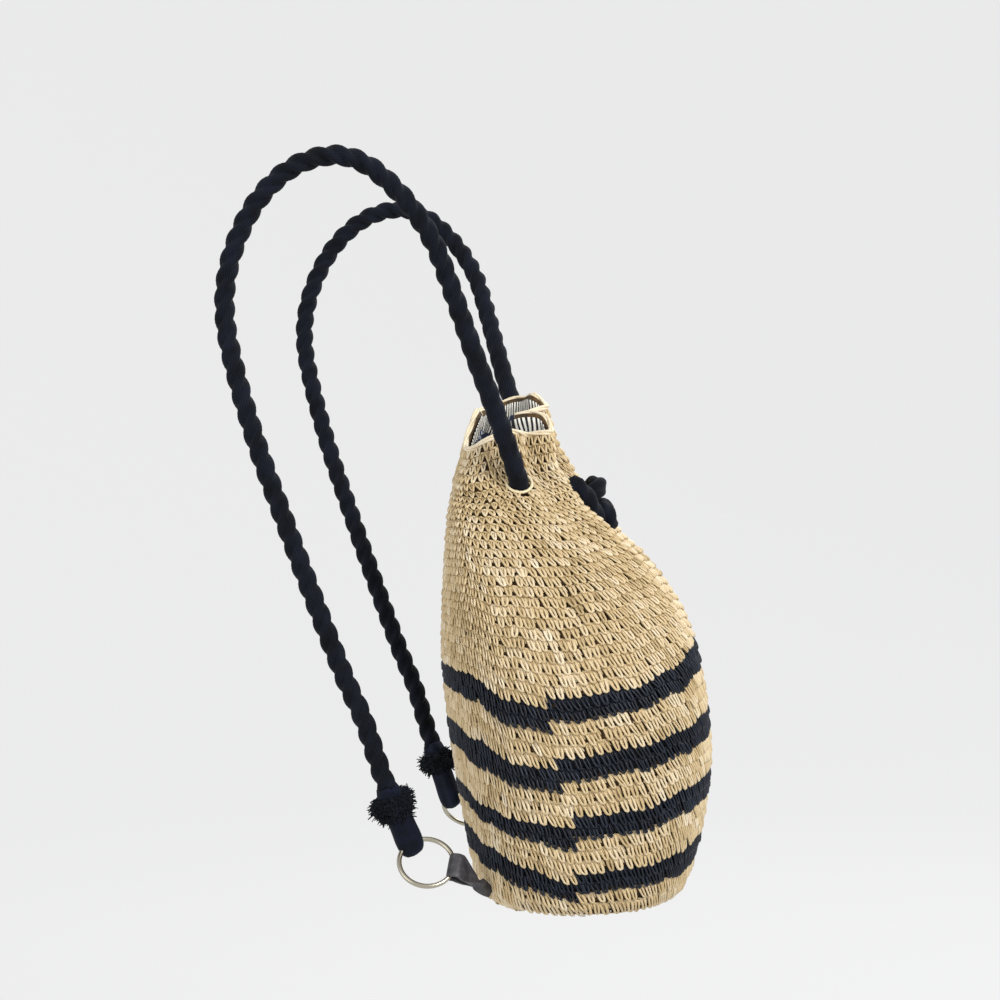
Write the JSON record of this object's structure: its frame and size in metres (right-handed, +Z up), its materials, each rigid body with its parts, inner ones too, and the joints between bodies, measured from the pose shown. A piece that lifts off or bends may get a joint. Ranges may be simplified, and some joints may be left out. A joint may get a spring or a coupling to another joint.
{
  "type": "woven straw backpack",
  "caption": "Crocheted straw bucket backpack with navy stripes, a printed lining, a gathered mouth and thick twisted rope straps that end in metal rings on leather tabs, in its worn form",
  "frame": {"origin": "midway between the undersides of the two straps where they rest on the shoulders", "axes": "+Z up, +Y is the way the wearer faces, +X the wearer's right; the sack hangs behind on the -Y side"},
  "size_m": [0.33, 0.3675, 0.5723],
  "materials": {
    "straw": "crocheted paper straw, natural with navy stripes, slightly glossy strands",
    "printed_cotton": null,
    "pale_thread": "pale worked edge round each side hole",
    "navy_rope": "three-strand twisted cotton rope, matt, slightly fuzzy",
    "ring_metal": "plain nickel-plated wire ring",
    "dark_leather": "dark charcoal strap leather, matt"
  },
  "bodies": {
    "root": {"straw_body": "straw", "lining": "printed_cotton", "eyelet_edge_left": "pale_thread", "strap_rope_left": "navy_rope", "rope_end_left": "navy_rope", "ring_left": "ring_metal", "tab_left": "dark_leather", "eyelet_edge_right": "pale_thread", "strap_rope_right": "navy_rope", "rope_end_right": "navy_rope", "ring_right": "ring_metal", "tab_right": "dark_leather", "front_knot": "navy_rope"}
  },
  "joints": []
}
